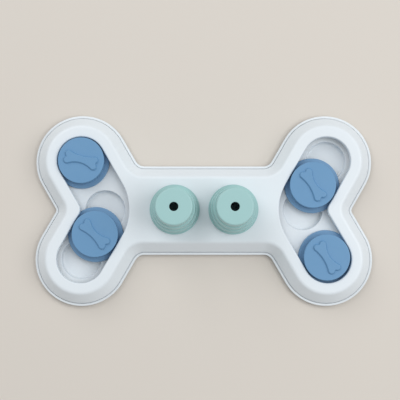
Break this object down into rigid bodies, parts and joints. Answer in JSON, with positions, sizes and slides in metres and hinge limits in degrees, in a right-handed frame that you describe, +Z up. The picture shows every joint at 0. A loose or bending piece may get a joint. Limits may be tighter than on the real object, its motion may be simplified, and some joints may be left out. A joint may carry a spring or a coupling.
{
  "type": "dog puzzle feeder toy",
  "caption": "Bone-shaped treat puzzle board with round sliders in two bent channels over treat wells and two lift-off cups over pockets.",
  "frame": {"origin": "middle of the board on the floor plane, under the crossing of its two symmetry planes", "axes": "+X along the bone to its right end, +Y to its back edge, +Z up"},
  "size_m": [0.311, 0.176, 0.067],
  "materials": {
    "board_plastic": "satin moulded plastic, very pale blue-grey",
    "blue_plastic": "fine matte moulded plastic, soft blue",
    "mint_plastic": "fine matte moulded plastic, soft mint",
    "foot_rubber": "grey non-slip rubber",
    "screw_steel": "zinc-plated steel"
  },
  "bodies": {
    "board": {"base_tray": "board_plastic", "top_cover": "board_plastic", "foot_back_left": "foot_rubber", "foot_front_left": "foot_rubber", "foot_back_right": "foot_rubber", "foot_front_right": "foot_rubber", "foot_back_middle": "foot_rubber", "foot_front_middle": "foot_rubber", "screw_lobe_back_left": "screw_steel", "screw_lobe_front_left": "screw_steel", "screw_lobe_back_right": "screw_steel", "screw_lobe_front_right": "screw_steel", "screw_bar_back_left": "screw_steel", "screw_bar_front_left": "screw_steel", "screw_bar_back_right": "screw_steel", "screw_bar_front_right": "screw_steel"},
    "glide_back_left": {"glide_back_left": "blue_plastic"},
    "knob_back_left": {"knob_back_left": "blue_plastic"},
    "glide_front_left": {"glide_front_left": "blue_plastic"},
    "knob_front_left": {"knob_front_left": "blue_plastic"},
    "glide_back_right": {"glide_back_right": "blue_plastic"},
    "knob_back_right": {"knob_back_right": "blue_plastic"},
    "glide_front_right": {"glide_front_right": "blue_plastic"},
    "knob_front_right": {"knob_front_right": "blue_plastic"},
    "cup_left": {"cup_left": "mint_plastic"},
    "cup_right": {"cup_right": "mint_plastic"}
  },
  "joints": [
    {"name": "slide_back_left", "type": "slide", "parent": "board", "child": "glide_back_left", "axis": [0.5, -0.866, 0], "range_m": [0, 0.019]},
    {"name": "spin_back_left", "type": "hinge", "parent": "glide_back_left", "child": "knob_back_left", "pos_m": [-0.1125, 0.045, 0.02], "axis": [0, 0, 1], "continuous": true},
    {"name": "slide_front_left", "type": "slide", "parent": "board", "child": "glide_front_left", "axis": [-0.5, -0.866, 0], "range_m": [-0.0168, 0.0266]},
    {"name": "spin_front_left", "type": "hinge", "parent": "glide_front_left", "child": "knob_front_left", "pos_m": [-0.0995, -0.02248, 0.02], "axis": [0, 0, 1], "continuous": true},
    {"name": "slide_back_right", "type": "slide", "parent": "board", "child": "glide_back_right", "axis": [0.5, 0.866, 0], "range_m": [-0.0168, 0.0266]},
    {"name": "spin_back_right", "type": "hinge", "parent": "glide_back_right", "child": "knob_back_right", "pos_m": [0.0995, 0.02248, 0.02], "axis": [0, 0, 1], "continuous": true},
    {"name": "slide_front_right", "type": "slide", "parent": "board", "child": "glide_front_right", "axis": [-0.5, 0.866, 0], "range_m": [-0.0021, 0.0175]},
    {"name": "spin_front_right", "type": "hinge", "parent": "glide_front_right", "child": "knob_front_right", "pos_m": [0.11175, -0.0437, 0.02], "axis": [0, 0, 1], "continuous": true},
    {"name": "lift_cup_left", "type": "slide", "parent": "board", "child": "cup_left", "axis": [0, 0, 1], "range_m": [0, 0.08]},
    {"name": "lift_cup_right", "type": "slide", "parent": "board", "child": "cup_right", "axis": [0, 0, 1], "range_m": [0, 0.08]}
  ]
}
